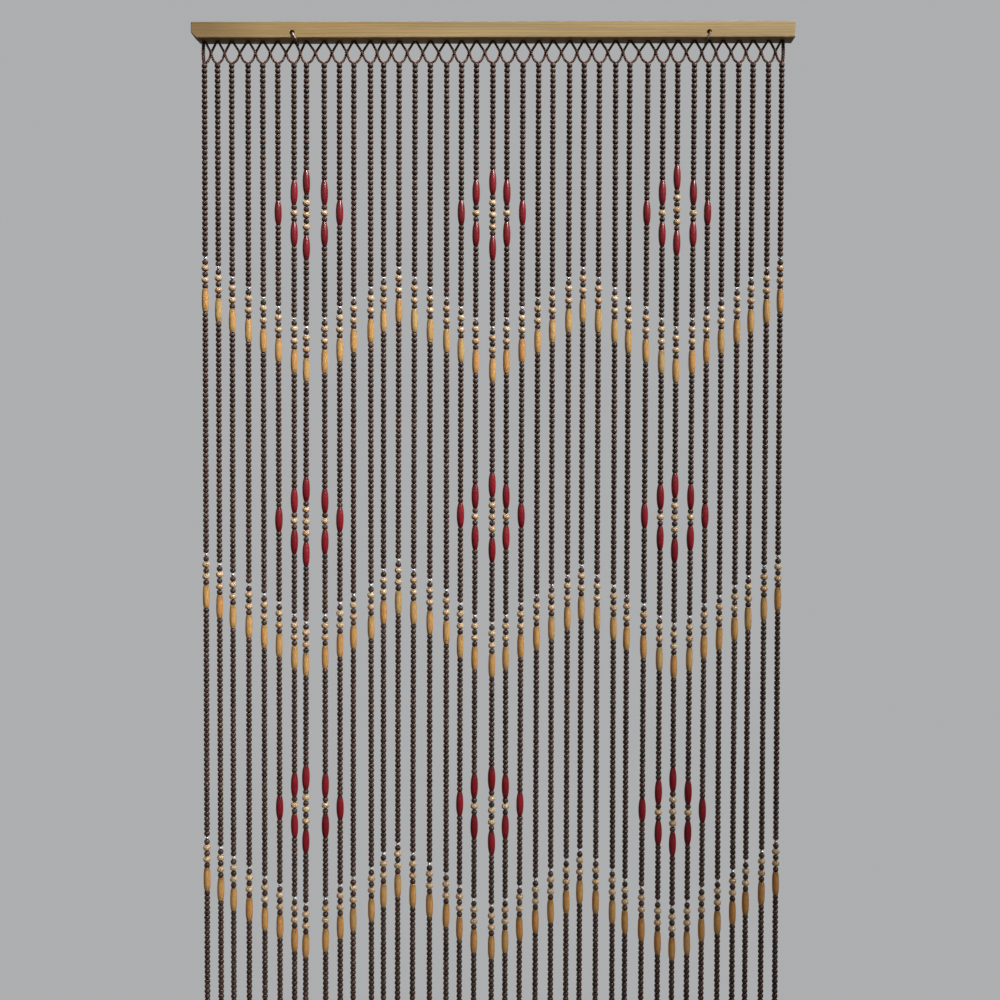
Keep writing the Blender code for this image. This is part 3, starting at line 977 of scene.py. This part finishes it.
# %% Floor
FLOOR_Z = -2.035
FLOOR_RADIUS = 1.30
FLOOR_FADE = 0.55
FLOOR_SIDES = 96
FLOOR_GRAIN = 14.0
FLOOR_STOPS = ((0.3, (0.74, 0.735, 0.725)), (0.7, (0.80, 0.795, 0.785)))

ring_points = []
for step in range(FLOOR_SIDES):
    angle = 2 * pi * step / FLOOR_SIDES
    ring_points.append((FLOOR_RADIUS * cos(angle), FLOOR_RADIUS * sin(angle), FLOOR_Z))
floor_mesh = bpy.data.meshes.new("floor")
floor_mesh.from_pydata(ring_points, [], [list(range(FLOOR_SIDES))])
floor = bpy.data.objects.new("floor", floor_mesh)
scene.collection.objects.link(floor)

floor_finish, tree, shader = new_finish("pale_floor", Roughness=0.75)
place = add(tree, "TexCoord").outputs["Object"]
pale = ramp(tree, cloudy(tree, place, 5.0, FLOOR_GRAIN), FLOOR_STOPS)
tree.links.new(pale, shader.inputs["Base Color"])
level = worked(tree, "MULTIPLY", place, (1.0, 1.0, 0.0))
away = add(tree, "VectorMath", {"operation": "LENGTH"}, i0=level).outputs["Value"]
fade = add(tree, "MapRange", Value=away, From_Min=FLOOR_FADE, From_Max=FLOOR_RADIUS).outputs["Result"]
clear = add(tree, "BsdfTransparent").outputs["BSDF"]
blend = add(tree, "MixShader", i0=fade, i1=shader.outputs["BSDF"], i2=clear)
tree.links.new(blend.outputs["Shader"], tree.nodes["Material Output"].inputs["Surface"])
floor_mesh.materials.append(floor_finish)

# %% Lamps
LAMPS = (
    {
        "name": "key_lamp",
        "place": (3.11, -3.04, 3.51),
        "aim": (-0.18, 0.0, -0.38),
        "size": 1.6,
        "spread": 0.35,
        "watts": 12.2,
        "tint": (1.0, 0.975, 0.94),
    },
    {
        "name": "back_lamp",
        "place": (1.20, 3.60, 2.60),
        "aim": (0.0, 0.0, -1.00),
        "size": 3.0,
        "spread": 1.80,
        "watts": 14.0,
        "tint": (1.0, 0.98, 0.96),
    },
    {
        "name": "fill_lamp",
        "place": (-2.6, -3.0, 0.3),
        "aim": (0.0, 0.0, -0.80),
        "size": 2.0,
        "spread": 3.1,
        "watts": 4.0,
        "tint": (0.92, 0.95, 1.0),
    },
)

for lamp in LAMPS:
    light = bpy.data.lights.new(lamp["name"], "AREA")
    light.size = lamp["size"]
    light.spread = lamp["spread"]
    light.energy = lamp["watts"]
    light.color = lamp["tint"]
    holder = bpy.data.objects.new(lamp["name"], light)
    holder.location = lamp["place"]
    holder.rotation_euler = (Vector(lamp["aim"]) - holder.location).to_track_quat("-Z", "Y").to_euler()
    holder.visible_camera = False
    scene.collection.objects.link(holder)
print("lamps:", [lamp["name"] for lamp in LAMPS])

# %% Background
SEEN_GREY = (0.42, 0.425, 0.43, 1.0)
SENT_FROM_FRONT = (0.080, 0.073, 0.066, 1.0)
SENT_FROM_BEHIND = (0.300, 0.300, 0.305, 1.0)
SLOPE_BELOW = -0.5
SLOPE_ABOVE = 0.5
SHARE_FROM_BELOW = 0.20
SHARE_FROM_ABOVE = 1.60

world = bpy.data.worlds.new("plain_background")
scene.world = world
world.use_nodes = True
tree = world.node_tree
tree.nodes.clear()
seen = add(tree, "Background", Color=SEEN_GREY).outputs["Background"]
heading = add(tree, "TexCoord").outputs["Generated"]
direction = add(tree, "SeparateXYZ", Vector=heading).outputs
from_behind = add(tree, "MapRange", Value=direction["Y"], From_Min=0.0, From_Max=1.0).outputs["Result"]
from_above = add(
    tree,
    "MapRange",
    Value=direction["Z"],
    From_Min=SLOPE_BELOW,
    From_Max=SLOPE_ABOVE,
    To_Min=SHARE_FROM_BELOW,
    To_Max=SHARE_FROM_ABOVE,
).outputs["Result"]
sent_colour = mixed(tree, from_behind, SENT_FROM_FRONT, SENT_FROM_BEHIND)
sent = add(tree, "Background", Color=sent_colour, Strength=from_above).outputs["Background"]
direct = add(tree, "LightPath").outputs["Is Camera Ray"]
whole = add(tree, "MixShader", i0=direct, i1=sent, i2=seen).outputs["Shader"]
tree.links.new(whole, tree.nodes.new("ShaderNodeOutputWorld").inputs["Surface"])
print("background:", world.name)
